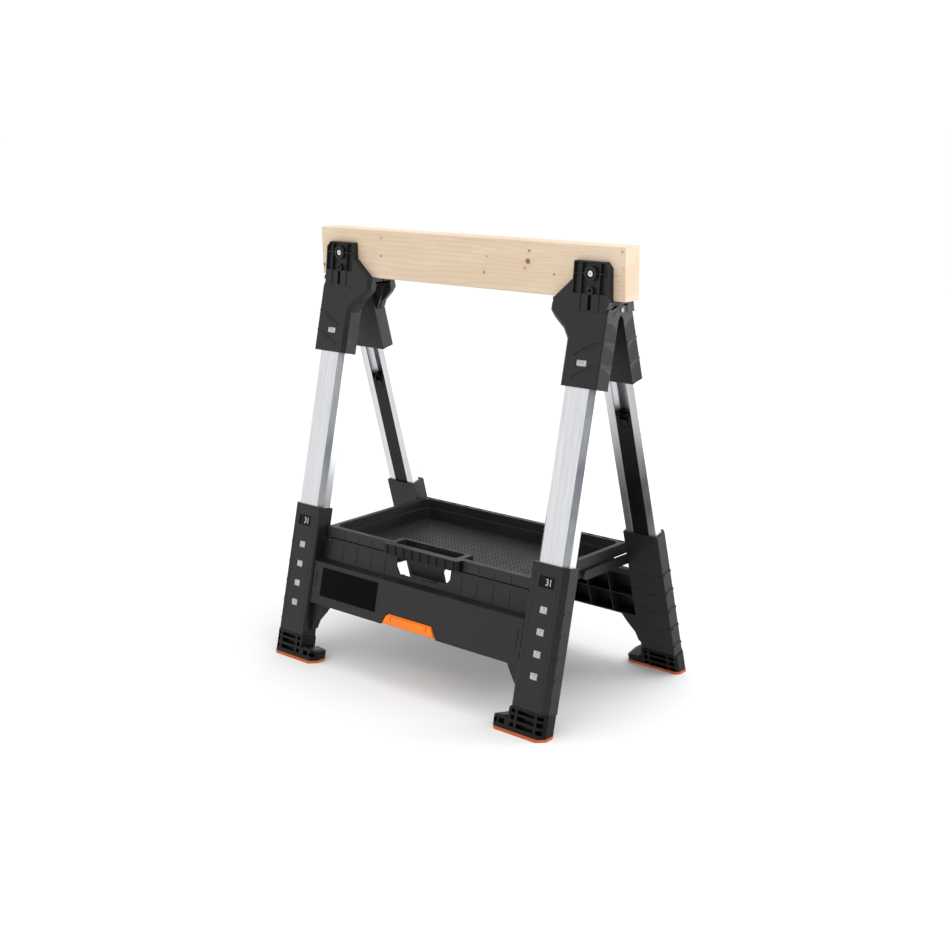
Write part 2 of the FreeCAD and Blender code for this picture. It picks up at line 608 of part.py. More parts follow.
def pad():
    """Non-slip sole under a right-hand front foot."""
    outer_x = LEG_CENTRE + LEG_WIDTH / 2 + FOOT_GROW + PAD_OVERHANG
    inner_x = FOOT_TOE_X - PAD_OVERHANG
    front = 13.0
    back = 7.0
    outline = [(inner_x, PAD_BACK_Y - back), (inner_x + back, PAD_BACK_Y), (outer_x - back, PAD_BACK_Y),
               (outer_x, PAD_BACK_Y - back), (outer_x, PAD_FRONT_Y + front), (outer_x - front, PAD_FRONT_Y),
               (inner_x + front, PAD_FRONT_Y), (inner_x, PAD_FRONT_Y + front)]
    return prism([Vector(x, y, 0) for x, y in outline], Vector(0, 0, PAD_THICKNESS))


# ---- cross panels -------------------------------------------------------------------------
def cross_plate(profile):
    """A plate right across a panel whose section is given as (t, s) points."""
    points = [Vector(-PANEL_HALF, -t, -s) for t, s in profile]
    return prism(points, Vector(2 * PANEL_HALF, 0, 0))


def panel_shell(top_s):
    """The panel's walls: recessed upper band, sloping ledge, proud lower band, sill and cap."""
    upper_back = PANEL_UPPER_T - PANEL_WALL
    lower_back = PANEL_LOWER_T - PANEL_WALL
    walls = [
        [(upper_back, top_s), (PANEL_UPPER_T, top_s), (PANEL_UPPER_T, PANEL_BAND_S + 1),
         (upper_back, PANEL_BAND_S + 1)],
        [(upper_back, PANEL_BAND_S - PANEL_WALL), (PANEL_UPPER_T, PANEL_BAND_S),
         (PANEL_LOWER_T, PANEL_LOWER_TOP_S), (PANEL_LOWER_T, PANEL_LOWER_TOP_S + PANEL_WALL),
         (upper_back, PANEL_BAND_S + PANEL_WALL)],
        [(lower_back, PANEL_LOWER_TOP_S), (PANEL_LOWER_T, PANEL_LOWER_TOP_S),
         (PANEL_LOWER_T, PANEL_BOTTOM_S), (lower_back, PANEL_BOTTOM_S)],
        [(PANEL_BACK_T, PANEL_BOTTOM_S - PANEL_WALL), (PANEL_LOWER_T, PANEL_BOTTOM_S - PANEL_WALL),
         (PANEL_LOWER_T, PANEL_BOTTOM_S), (PANEL_BACK_T, PANEL_BOTTOM_S)],
        [(PANEL_BACK_T, top_s), (PANEL_UPPER_T, top_s), (PANEL_UPPER_T, top_s + PANEL_WALL),
         (PANEL_BACK_T, top_s + PANEL_WALL)],
    ]
    return [cross_plate(wall) for wall in walls]


def panel_ribs(top_s):
    """Upright ribs and one cross rib on the back of a panel."""
    rib_outline = [(PANEL_BACK_T, top_s), (PANEL_UPPER_T - 1, top_s), (PANEL_UPPER_T - 1, PANEL_BAND_S),
                   (PANEL_LOWER_T - 1, PANEL_LOWER_TOP_S + 1), (PANEL_LOWER_T - 1, PANEL_BOTTOM_S),
                   (PANEL_BACK_T, PANEL_BOTTOM_S)]
    count = int(2 * PANEL_HALF / RIB_PITCH)
    pitch = (2 * PANEL_HALF - RIB_THICKNESS) / count
    ribs = []
    for i in range(count + 1):
        u = -PANEL_HALF + i * pitch
        points = [Vector(u, -t, -s) for t, s in rib_outline]
        ribs.append(prism(points, Vector(RIB_THICKNESS, 0, 0)))
    cross_rib = [(PANEL_BACK_T, CROSS_RIB_S - 1), (PANEL_LOWER_T - 1, CROSS_RIB_S - 1),
                 (PANEL_LOWER_T - 1, CROSS_RIB_S + 1), (PANEL_BACK_T, CROSS_RIB_S + 1)]
    return ribs + [cross_plate(cross_rib)]


def panel_gusset(side):
    """Corner web that runs from the sill into the leg."""
    outline = [(226, PANEL_BOTTOM_S - 1), (236, 628), (252, 648), (257, 664), (PANEL_HALF, 668),
               (PANEL_HALF, PANEL_BOTTOM_S - 1)]
    return leg_plate([(side * u, s) for u, s in outline], PANEL_BACK_T, PANEL_BACK_T + 16)


def panel_grooves(top_s):
    """Grooves across the upper band and slots at both ends of the lower band."""
    tools = []
    for side in (-1, 1):
        for u in BAND_GROOVES_U:
            tools.append(leg_box(side * u - GROOVE_HALF, side * u + GROOVE_HALF,
                                 PANEL_UPPER_T - GROOVE_DEPTH, PANEL_UPPER_T + 1,
                                 top_s + 8, PANEL_BAND_S - 2))
        for u, s0, s1 in END_SLOTS:
            tools.append(leg_box(side * u - GROOVE_HALF, side * u + GROOVE_HALF,
                                 PANEL_LOWER_T - 1.5, PANEL_LOWER_T + 1, s0, s1))
    return tools


def panel(top_s):
    """Ribbed cross panel with corner gussets."""
    shapes = panel_shell(top_s) + panel_ribs(top_s) + [panel_gusset(side) for side in (-1, 1)]
    return cut_all(fuse_all(shapes), panel_grooves(top_s))


def front_panel():
    """Front panel with the hand notch at the top and the latch notch at the bottom."""
    top = FRONT_PANEL_TOP_S
    edge = HAND_NOTCH_TOP
    bend = HAND_NOTCH_S - 14
    hand = leg_plate([(-edge, top - 2), (edge, top - 2), (edge, bend), (HAND_NOTCH_LOW, HAND_NOTCH_S),
                      (-HAND_NOTCH_LOW, HAND_NOTCH_S), (-edge, bend)],
                     PANEL_BACK_T - 1, PANEL_UPPER_T + 1)
    wide = LATCH_LOW_HALF + 4
    narrow = LATCH_TOP_HALF + 2
    notch = leg_plate([(-wide, PANEL_BOTTOM_S + 1), (wide, PANEL_BOTTOM_S + 1), (narrow, LATCH_ROOF_S),
                       (-narrow, LATCH_ROOF_S)], PANEL_BACK_T - 1, PANEL_LOWER_T + 1)
    notch = notch.fuse(leg_box(-LATCH_CHEEK_U, LATCH_CHEEK_U, PANEL_BACK_T - 1, PANEL_LOWER_T - PANEL_WALL,
                               LATCH_ROOF_S, PANEL_BOTTOM_S + 1))
    front = PANEL_LOWER_T - 1
    sides = [leg_box(side * LATCH_CHEEK_U - 1.5, side * LATCH_CHEEK_U + 1.5, PANEL_BACK_T, front,
                     LATCH_ROOF_S - 2, PANEL_BOTTOM_S) for side in (-1, 1)]
    roof = leg_box(-LATCH_CHEEK_U, LATCH_CHEEK_U, PANEL_BACK_T, front, LATCH_ROOF_S - 3, LATCH_ROOF_S)
    shape = fuse_all([cut_all(panel(top), [hand, notch]), roof] + sides)
    shape = lean(shape.cut(latch_axle(LATCH_PIN_RADIUS, 100)))
    lip = box(edge + 3, PANEL_HALF, *PANEL_LIP_Y, TRAY_SKIRT_Z - 8, TRAY_SKIRT_Z - 0.6)
    shape = fuse_all([shape, lip, flip(lip, -1)])
    ear_room = [hinge_disc(side, TRAY_EAR_RADIUS + 1.0, TRAY_EAR_X[0] - 1.0, PANEL_HALF + 1)
                for side in (-1, 1)]
    return cut_all(shape, ear_room)


def rear_panel():
    """Rear panel, lower than the front one so that the tray clears it."""
    return to_rear(lean(panel(REAR_PANEL_TOP_S))).cut(latch_keeper())


def badge():
    """Plain name plate on the front panel."""
    return lean(leg_box(*BADGE_U, PANEL_LOWER_T, PANEL_LOWER_T + BADGE_THICKNESS, *BADGE_S))


# ---- latch --------------------------------------------------------------------------------
def latch_axle(radius, half_length):
    """Round bar on the latch's pivot line, before the leg is leaned out."""
    start = Vector(-half_length, -LATCH_PIVOT_T, -LATCH_PIVOT_S)
    return Part.makeCylinder(radius, 2 * half_length, start, X_AXIS)


def latch():
    """Pull latch under the front panel that holds the two frames together."""
    top = LATCH_TOP_HALF
    low = LATCH_LOW_HALF
    mid_s = (LATCH_TOP_S + LATCH_LOW_S) / 2
    face = leg_plate([(-top, LATCH_TOP_S), (top, LATCH_TOP_S), (low, LATCH_LOW_S), (-low, LATCH_LOW_S)],
                     LATCH_PIVOT_T + 5, PANEL_LOWER_T - 1)
    swell = leg_plate([(-top - 2, LATCH_TOP_S + 3), (top + 2, LATCH_TOP_S + 3),
                       (low - 3, LATCH_LOW_S - 2.5), (-low + 3, LATCH_LOW_S - 2.5)],
                      LATCH_PIVOT_T + 5, PANEL_LOWER_T + 1.5)
    barrel = latch_axle(6, LATCH_TOP_HALF - 1)
    web = leg_box(-top + 1, top - 1, LATCH_PIVOT_T, LATCH_PIVOT_T + 7, 593, mid_s + 2)
    hook = leg_box(-HOOK_HALF, HOOK_HALF, -4, LATCH_PIVOT_T, 596, 601)
    tooth = leg_box(-HOOK_HALF, HOOK_HALF, -4, 2, 591, 601)
    grooves = [leg_box(u - 1, u + 1, PANEL_LOWER_T - 0.5, PANEL_LOWER_T + 3,
                       LATCH_TOP_S - 2, LATCH_LOW_S - 7) for u in (-44, 44)]
    bore = latch_axle(LATCH_PIN_RADIUS + RUNNING_GAP, 100)
    return lean(cut_all(fuse_all([face, swell, barrel, web, hook, tooth]), grooves + [bore]))


def latch_pin():
    """Axle of the latch."""
    return lean(latch_axle(LATCH_PIN_RADIUS, LATCH_CHEEK_U + 1.5))


def latch_keeper():
    """Lug on the rear panel that the latch hook lies under."""
    plate = leg_box(-16, 16, -3, PANEL_LOWER_T - PANEL_WALL, 583, 587)
    return to_rear(lean(plate))


# ---- tray ---------------------------------------------------------------------------------
def hinge_disc(side, radius, x0, x1):
    """Round bar on the tray's hinge line, on one side."""
    return rod(radius, (side * x0, *TRAY_HINGE), (side * x1, *TRAY_HINGE))


def rounded_box(x, y0, y1, z0, z1, radius):
    """A box centred on X = 0 with rounded upright edges."""
    solid = box(-x, x, y0, y1, z0, z1)
    return solid.makeFillet(radius, [e for e in solid.Edges if abs(e.tangentAt(0).z) > 0.9])


def tray_shell():
    """Rim, stepped walls and floor."""
    high = TRAY_TOP_Z + 1
    basin_x = TRAY_HALF - TRAY_STEP + 4
    rim = box(-TRAY_HALF, TRAY_HALF, TRAY_FRONT_Y, TRAY_REAR_Y, TRAY_SKIRT_Z, TRAY_TOP_Z)
    basin = rounded_box(basin_x, TRAY_FRONT_Y + TRAY_STEP - 4, TRAY_REAR_Y - TRAY_STEP + 4,
                        TRAY_FLOOR_Z - TRAY_FLOOR_THICKNESS, TRAY_SKIRT_Z + 1, TRAY_CORNER)
    upper = rounded_box(TRAY_HALF - TRAY_RIM, TRAY_FRONT_Y + TRAY_RIM, TRAY_REAR_Y - TRAY_RIM,
                        TRAY_LEDGE_Z, high, TRAY_CORNER + 2)
    lower = rounded_box(TRAY_HALF - TRAY_STEP, TRAY_FRONT_Y + TRAY_STEP, TRAY_REAR_Y - TRAY_STEP,
                        TRAY_FLOOR_Z, high, TRAY_CORNER)
    return cut_all(fuse_all([rim, basin]), [upper, lower])


def tray_hollows():
    """Grooves under the rim that leave its walls thin, and the notches in the rear rim."""
    low = TRAY_SKIRT_Z - 1
    high = TRAY_TOP_Z - 4
    middle = TRAY_HALF - 5
    tools = [box(side * middle - 2.5, side * middle + 2.5, TRAY_FRONT_Y + 14, TRAY_REAR_Y - 4, low, high)
             for side in (-1, 1)]
    tools.append(box(-TRAY_HALF + 4, TRAY_HALF - 4, TRAY_REAR_Y - 8, TRAY_REAR_Y - 2.5, low, high))
    return tools


def tray():
    """Shallow tray with a rim, stepped walls and a finger slot behind the handle."""
    wall = 5.0
    housing = box(-GRIP_HALF - 12, GRIP_HALF + 12, TRAY_FRONT_Y + 1, GRIP_REAR_Y + wall,
                  TRAY_FLOOR_Z - TRAY_FLOOR_THICKNESS, TRAY_TOP_Z)
    housing = housing.cut(box(-200, 200, TRAY_FRONT_Y - 1, TRAY_FRONT_Y + 13, 200, TRAY_SKIRT_Z))
    bevel = [(GRIP_REAR_Y - 1, 214.2), (GRIP_REAR_Y + 6, 209.0), (GRIP_REAR_Y + 6, 205.0),
             (GRIP_REAR_Y - 1, 205.0)]
    bevel_cut = prism([Vector(-GRIP_HALF, y, z) for y, z in bevel], Vector(2 * GRIP_HALF, 0, 0))
    slot = rounded_box(GRIP_HALF, TRAY_FRONT_Y + 2, GRIP_REAR_Y, 200, TRAY_TOP_Z + 1, 6)
    notches = [box(side * x - 7, side * x + 7, TRAY_REAR_Y - 7, TRAY_REAR_Y - 2.5,
                   TRAY_TOP_Z - 5, TRAY_TOP_Z + 1) for side in (-1, 1) for x in RIM_NOTCHES_X]
    grooves = [box(side * u - GROOVE_HALF, side * u + GROOVE_HALF, TRAY_FRONT_Y - 1,
                   TRAY_FRONT_Y + GROOVE_DEPTH, TRAY_SKIRT_Z + 1, TRAY_TOP_Z - 4)
               for side in (-1, 1) for u in BAND_GROOVES_U[1:]]
    ears = [hinge_disc(side, TRAY_EAR_RADIUS, *TRAY_EAR_X) for side in (-1, 1)]
    y, z = TRAY_HINGE
    web = box(*TRAY_EAR_X, TRAY_FRONT_Y, y + 3, z, TRAY_SKIRT_Z + 1)
    ear_bores = [hinge_disc(side, TRAY_PIN_RADIUS + RUNNING_GAP, 240, 260) for side in (-1, 1)]
    shape = fuse_all([cut_all(tray_shell(), tray_hollows()), housing, mirrored_pair(web)] + ears)
    return cut_all(shape, [slot, bevel_cut] + notches + grooves + ear_bores)


def tray_pin():
    """Stub axle of the tray, fixed in a front leg."""
    return hinge_disc(1, TRAY_PIN_RADIUS, TRAY_EAR_X[0] - 0.5, PANEL_HALF + PIN_SEAT)


def tray_handle():
    """Grip bar with vertical ribs on the tray's front rim."""
    front = TRAY_FRONT_Y - HANDLE_DEPTH
    bar = box(-HANDLE_HALF, HANDLE_HALF, front, TRAY_FRONT_Y, HANDLE_LOW_Z, TRAY_TOP_Z)
    front_corners = [e for e in bar.Edges if abs(e.tangentAt(0).z) > 0.9 and e.Vertexes[0].Y < front + 1]
    bar = bar.makeFillet(8, front_corners)
    first = -HANDLE_HALF + 12
    pitch = -2 * first / (HANDLE_RIBS - 1)
    ribs = [box(first + i * pitch - 1.5, first + i * pitch + 1.5, front - 1.6, front + 3,
                HANDLE_LOW_Z, TRAY_TOP_Z - 1.5) for i in range(HANDLE_RIBS)]
    return fuse_all([bar] + ribs)


def tray_guard():
    """Guard below the handle that leans inwards behind the hand notch."""
    top_y = TRAY_FRONT_Y + 0.5
    profile = [(top_y, TRAY_SKIRT_Z), (top_y + 3, TRAY_SKIRT_Z), (GUARD_LOW_Y + 3, GUARD_LOW_Z),
               (GUARD_LOW_Y, GUARD_LOW_Z)]
    return prism([Vector(-GUARD_HALF, y, z) for y, z in profile], Vector(2 * GUARD_HALF, 0, 0))


# ---- tray links ---------------------------------------------------------------------------
def tray_link():
    """Flat side link from a rear leg to the middle of the tray, right hand."""
    y0, z0 = LINK_PIVOT
    x0 = TRAY_HALF + 1.6
    x1 = PANEL_HALF - 1.2
    bar = box(x0, x1, LINK_TIP_Y, y0, z0 - LINK_HALF_HEIGHT, z0 + LINK_HALF_HEIGHT)
    ends = [rod(LINK_HALF_HEIGHT, (x0, y, z0), (x1, y, z0)) for y in (LINK_TIP_Y, y0)]
    bore = rod(LINK_PIN_RADIUS + RUNNING_GAP, (x0 - 1, y0, z0), (x1 + 1, y0, z0))
    return fuse_all([bar] + ends).cut(bore)


def link_axle(side, x0):
    """Round bar on a side link's pivot, from x0 into the rear leg."""
    y0, z0 = LINK_PIVOT
    return rod(LINK_PIN_RADIUS, (side * x0, y0, z0), (side * (PANEL_HALF + PIN_SEAT), y0, z0))


# ---- build --------------------------------------------------------------------------------
def mirrored_pair(shape):
    """The left and right copies of a right-hand shape as one node."""
    return Part.makeCompound([flip(shape, side) for side in (-1, 1)])


def build_legs():
    """Legs, feet, tubes and brackets of both frames."""
    link_bores = [link_axle(side, 240) for side in (-1, 1)]
    tray_bores = [hinge_disc(side, TRAY_PIN_RADIUS, TRAY_HALF + 2, PANEL_HALF + PIN_SEAT)
                  for side in (-1, 1)]
    front_head = front_bracket()
    rear_head = rear_bracket()
    shared = {"leg": lean(lower_leg()), "foot": foot(), "pad": pad(), "tube": lean(tube()),
              "runner": lean(runner()), "lock_tab": lean(lock_tab())}
    for side_name, side in SIDES.items():
        for kind, shape in shared.items():
            front = flip(shape, side)
            rear = to_rear(flip(shape, -side))
            if kind == "leg":
                front = cut_all(front, tray_bores)
                rear = cut_all(rear, link_bores)
            save("front_" + kind + "_" + side_name, front)
            save("rear_" + kind + "_" + side_name, rear)
        save("front_bracket_" + side_name, flip(front_head, side))
        save("rear_bracket_" + side_name, to_rear(flip(rear_head, -side)))
        save("tray_link_" + side_name, flip(tray_link(), side))


def build_small_parts():
    """Pins, bolts, labels and strips."""
    save("front_scale_plates", mirrored_pair(scale_plate()))
    save("rear_scale_plates", to_rear(mirrored_pair(scale_plate())))
    save("front_scale_strips", mirrored_pair(scale_strip()))
    save("rear_scale_strips", to_rear(mirrored_pair(scale_strip())))
    save("hinge_pins", mirrored_pair(hinge_pin()))
    save("clamp_bolts", mirrored_pair(clamp_bolt()))
    save("tray_pins", mirrored_pair(tray_pin()))
    save("link_pins", mirrored_pair(link_axle(1, TRAY_HALF + 1.0)))


def build_body():
    """Beam, panels, latch and tray."""
    save("beam", beam())
    save("front_panel", front_panel())
    save("rear_panel", rear_panel())
    save("badge_plate", badge())
    save("latch", latch())
    save("latch_pin", latch_pin())
    save("latch_keeper", latch_keeper())
    save("tray", tray())
    save("tray_handle", tray_handle())
    save("tray_guard", tray_guard())


build_legs()
build_small_parts()
build_body()
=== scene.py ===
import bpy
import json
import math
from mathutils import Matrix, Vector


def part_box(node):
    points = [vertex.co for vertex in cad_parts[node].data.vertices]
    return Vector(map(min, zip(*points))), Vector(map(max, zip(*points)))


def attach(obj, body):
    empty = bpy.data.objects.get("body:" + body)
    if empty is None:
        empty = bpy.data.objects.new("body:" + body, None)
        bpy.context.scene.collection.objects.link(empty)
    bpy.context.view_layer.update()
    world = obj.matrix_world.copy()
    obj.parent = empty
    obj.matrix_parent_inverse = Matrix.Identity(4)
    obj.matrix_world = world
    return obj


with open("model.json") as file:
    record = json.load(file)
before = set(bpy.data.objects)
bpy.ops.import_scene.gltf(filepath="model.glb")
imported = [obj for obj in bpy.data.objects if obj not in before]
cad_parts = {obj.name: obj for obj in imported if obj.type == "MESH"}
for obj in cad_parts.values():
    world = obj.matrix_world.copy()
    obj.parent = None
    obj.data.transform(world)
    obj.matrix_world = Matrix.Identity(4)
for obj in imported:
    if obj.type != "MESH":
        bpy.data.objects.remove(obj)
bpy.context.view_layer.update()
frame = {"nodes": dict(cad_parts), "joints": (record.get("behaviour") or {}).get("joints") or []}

# Looks of the folding sawhorse: procedural materials, small moulded details, floor and light.
#
# Metres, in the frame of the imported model. Details on a leg are drawn upright in the leg's own
# coordinates and leaned out with it: u runs along X, t is the distance outwards from the plane
# through the hinge pin, and s is the distance down the leg from the pin.

MM = 0.001
LEAN = math.radians(14.0)
PIN_Z = next(joint for joint in frame["joints"] if joint["name"] == "fold")["pos_m"][2]
LEG_CENTRE = 299.5
SIDES = (-1, 1)
ENDS = ("front", "rear")
BRACKET_X = {"front": 339.5, "rear": 335.5}
EXTRA = 0.02                # how far, in mm, thin details start inside the face they lie on


# ---- node trees ---------------------------------------------------------------------------
class Paint:
    """A material's node tree, with short calls that add and join nodes."""

    def __init__(self, name):
        self.material = bpy.data.materials.new(name)
        self.material.use_nodes = True
        self.tree = self.material.node_tree
        self.shader = self.tree.nodes["Principled BSDF"]

    def put(self, socket, value):
        if isinstance(value, bpy.types.NodeSocket):
            self.tree.links.new(value, socket)
        else:
            socket.default_value = value

    def node(self, kind, inputs, **settings):
        made = self.tree.nodes.new(kind)
        for key, value in settings.items():
            setattr(made, key, value)
        for key, value in inputs.items():
            self.put(made.inputs[key], value)
        return made

    def place(self, turn=0.0):
        """Object coordinates, turned about X so that a leaning leg stands upright."""
        source = self.node("ShaderNodeTexCoord", {}).outputs["Object"]
        if turn == 0.0:
            return source
        turned = self.node("ShaderNodeMapping", {"Vector": source, "Rotation": (turn, 0.0, 0.0)})
        return turned.outputs["Vector"]

    def stretch(self, vector, scale):
        return self.node("ShaderNodeVectorMath", {0: vector, 1: scale}, operation="MULTIPLY").outputs[0]

    def subtract(self, vector, other):
        return self.node("ShaderNodeVectorMath", {0: vector, 1: other}, operation="SUBTRACT").outputs[0]

    def length(self, vector):
        return self.node("ShaderNodeVectorMath", {0: vector}, operation="LENGTH").outputs["Value"]

    def noise(self, vector, scale, detail=2.0, roughness=0.5):
        made = self.node("ShaderNodeTexNoise",
                         {"Vector": vector, "Scale": scale, "Detail": detail, "Roughness": roughness})
        return made.outputs["Fac"]

    def math(self, operation, a, b=0.0):
        return self.node("ShaderNodeMath", {0: a, 1: b}, operation=operation).outputs[0]

    def fit(self, value, low, high, to_low=0.0, to_high=1.0):
        made = self.node("ShaderNodeMapRange", {"Value": value, "From Min": low, "From Max": high,
                                                "To Min": to_low, "To Max": to_high},
                         interpolation_type="SMOOTHSTEP")
        return made.outputs["Result"]

    def mix(self, factor, a, b):
        a, b = [value if isinstance(value, bpy.types.NodeSocket) else (*value, 1.0) for value in (a, b)]
        made = self.node("ShaderNodeMix", {0: factor, 6: a, 7: b}, data_type="RGBA")
        return made.outputs[2]

    def round_edges(self, radius):
        """Normal that turns softly over an edge, as a mould's edge does."""
        made = self.node("ShaderNodeBevel", {"Radius": radius})
        made.samples = 4
        return made.outputs["Normal"]

    def edge_mask(self, rounded):
        """One along sharp edges and zero on flats."""
        flat = self.node("ShaderNodeNewGeometry", {}).outputs["Normal"]
        same = self.node("ShaderNodeVectorMath", {0: rounded, 1: flat}, operation="DOT_PRODUCT")
        return self.fit(same.outputs["Value"], 0.99, 0.8)

    def bump(self, height, distance, normal=None, strength=1.0):
        inputs = {"Height": height, "Distance": distance, "Strength": strength}
        if normal is not None:
            inputs["Normal"] = normal
        return self.node("ShaderNodeBump", inputs).outputs["Normal"]

    def finish(self, colour, roughness, normal, **constants):
        self.put(self.shader.inputs["Base Color"], colour)
        self.put(self.shader.inputs["Roughness"], roughness)
        self.put(self.shader.inputs["Normal"], normal)
        for key, value in constants.items():
            self.shader.inputs[key.replace("_", " ")].default_value = value
        return self.material


def moulded(name, colour, pale, rough, grain=1500.0, depth=0.00004, wear=0.35, edge=0.0007, **constants):
    """Moulded plastic: eroded mould texture, soft cloudiness, scuffs and worn, rounded edges."""
    paint = Paint(name)
    place = paint.place()
    rounded = paint.round_edges(edge)
    fine = paint.noise(place, grain, 3.0, 0.6)
    cloud = paint.fit(paint.noise(place, 14.0, 4.0, 0.6), 0.35, 0.65)
    speck = paint.fit(paint.noise(place, 420.0, 2.0, 0.5), 0.58, 0.72)
    scuff_place = paint.stretch(place, (1.0, 0.35, 3.0))
    scuff = paint.fit(paint.noise(scuff_place, 90.0, 5.0, 0.7), 0.62, 0.8)
    patchy = paint.fit(paint.noise(place, 130.0, 3.0), 0.3, 0.6)
    worn = paint.math("MULTIPLY", paint.edge_mask(rounded), patchy)
    base = paint.mix(paint.math("MULTIPLY", cloud, 0.5), colour, pale)
    base = paint.mix(paint.math("MULTIPLY", speck, 0.25), base, pale)
    light = tuple(min(1.0, channel * 2.2 + 0.02) for channel in pale)
    base = paint.mix(paint.math("MULTIPLY", worn, wear), base, light)
    base = paint.mix(paint.math("MULTIPLY", scuff, 0.18), base, light)
    roughness = paint.math("ADD", paint.fit(cloud, 0.0, 1.0, rough - 0.04, rough + 0.05),
                           paint.math("MULTIPLY", fine, 0.06))
    return paint.finish(base, roughness, paint.bump(fine, depth, rounded), **constants)


def brushed_aluminium(name, turn):
    """Extruded aluminium with fine lines along the leg and a mottled satin sheen."""
    paint = Paint(name)
    place = paint.place(turn)
    rounded = paint.round_edges(0.0005)
    lines = paint.noise(paint.stretch(place, (1.0, 1.0, 0.012)), 1600.0, 3.0, 0.65)
    drawn = paint.noise(paint.stretch(place, (1.0, 1.0, 0.004)), 260.0, 2.0, 0.5)
    mottle = paint.noise(paint.stretch(place, (1.0, 1.0, 0.04)), 320.0, 3.0, 0.7)
    cloud = paint.noise(place, 12.0, 3.0, 0.6)
    tone = paint.math("ADD", paint.math("MULTIPLY", lines, 0.45), paint.math("MULTIPLY", mottle, 0.35))
    tone = paint.math("ADD", tone, paint.math("MULTIPLY", drawn, 0.2))
    base = paint.mix(paint.fit(tone, 0.34, 0.64), (0.57, 0.58, 0.60), (0.74, 0.745, 0.76))
    worn = paint.math("MULTIPLY", paint.edge_mask(rounded), 0.5)
    base = paint.mix(worn, base, (0.88, 0.88, 0.89))
    roughness = paint.math("ADD", paint.fit(cloud, 0.3, 0.7, 0.24, 0.34), paint.math("MULTIPLY", lines, 0.12))
    return paint.finish(base, roughness, paint.bump(lines, 0.00002, rounded), Metallic=1.0)


def polished_steel(name, colour, roughness):
    """Zinc-plated steel with faint turning marks."""
    paint = Paint(name)
    place = paint.place()
    rounded = paint.round_edges(0.0006)
    marks = paint.noise(paint.stretch(place, (1.0, 0.1, 1.0)), 2400.0, 3.0, 0.6)
    cloud = paint.noise(place, 160.0, 3.0, 0.6)
    base = paint.mix(paint.fit(cloud, 0.35, 0.65), colour, tuple(channel * 0.82 for channel in colour))
    rough = paint.fit(cloud, 0.3, 0.7, roughness - 0.05, roughness + 0.08)
    return paint.finish(base, rough, paint.bump(marks, 0.00002, rounded), Metallic=1.0)


def printed(name, colour, pale, rough, depth=0.00002, **constants):
    """Printed or painted label with slight mottling."""
    paint = Paint(name)
    place = paint.place()
    fine = paint.noise(place, 2200.0, 2.0, 0.5)
    cloud = paint.fit(paint.noise(place, 180.0, 4.0, 0.65), 0.35, 0.65)
    base = paint.mix(cloud, colour, pale)
    roughness = paint.fit(fine, 0.3, 0.7, rough - 0.04, rough + 0.06)
    return paint.finish(base, roughness, paint.bump(fine, depth, paint.round_edges(0.0003)), **constants)


# Knots and drying cracks, in mm: place along X, height, half height, darkness, length over height
FRONT_KNOTS = ((-199, 787, 1.7, 0.8, 1.2), (-201, 754, 1.9, 0.8, 1.2), (-270, 756, 1.2, 0.5, 1.2),
               (55, 741, 2.2, 0.8, 1.2), (62, 769, 1.5, 0.55, 1.3), (158, 784, 2.3, 0.75, 1.2),
               (155, 766, 4.8, 0.85, 1.1), (148, 754, 1.6, 0.8, 1.5), (212, 748, 1.8, 0.9, 1.2),
               (354, 793, 2.0, 0.7, 1.1), (-357, 729, 3.5, 0.8, 1.0), (341, 753, 0.45, 0.5, 16.0),
               (343, 744, 0.45, 0.4, 13.0), (356, 766, 0.5, 0.45, 6.0), (20, 796, 0.4, 0.3, 40.0))
REAR_KNOTS = ((-120, 770, 3.6, 0.85, 1.3), (40, 742, 1.8, 0.7, 1.2), (96, 785, 1.5, 0.6, 1.3),
              (230, 758, 2.6, 0.8, 1.2), (-262, 741, 1.6, 0.7, 1.2))
KNOT_DEPTH = 16.0
RING_PITCH = 0.0062
PITH = (0.0, 0.062, 0.672)      # heart of the log, outside the timber


def knot_masks(paint, place):
    """Dark cores of the knots, and the wider zone round each where the grain swerves."""
    half = (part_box("beam")[1][1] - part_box("beam")[0][1]) / 2
    wobble = paint.math("MULTIPLY", paint.noise(place, 500.0, 2.0), 0.7)
    halo = paint.math("ADD", 0.0, 0.0)
    core = paint.math("ADD", 0.0, 0.0)
    for knots, face_y in ((FRONT_KNOTS, -half), (REAR_KNOTS, half)):
        for x, z, size, darkness, length in knots:
            offset = paint.subtract(place, (x * MM, face_y, z * MM))
            reach = (size * MM * length, KNOT_DEPTH * MM, size * MM)
            near = paint.stretch(offset, tuple(1.0 / part for part in reach))
            distance = paint.math("ADD", paint.length(near), wobble)
            core = paint.math("MAXIMUM", core, paint.fit(distance, 1.7, 0.9, 0.0, darkness))
            halo = paint.math("MAXIMUM", halo, paint.fit(distance, 4.5, 0.8))
    return core, halo


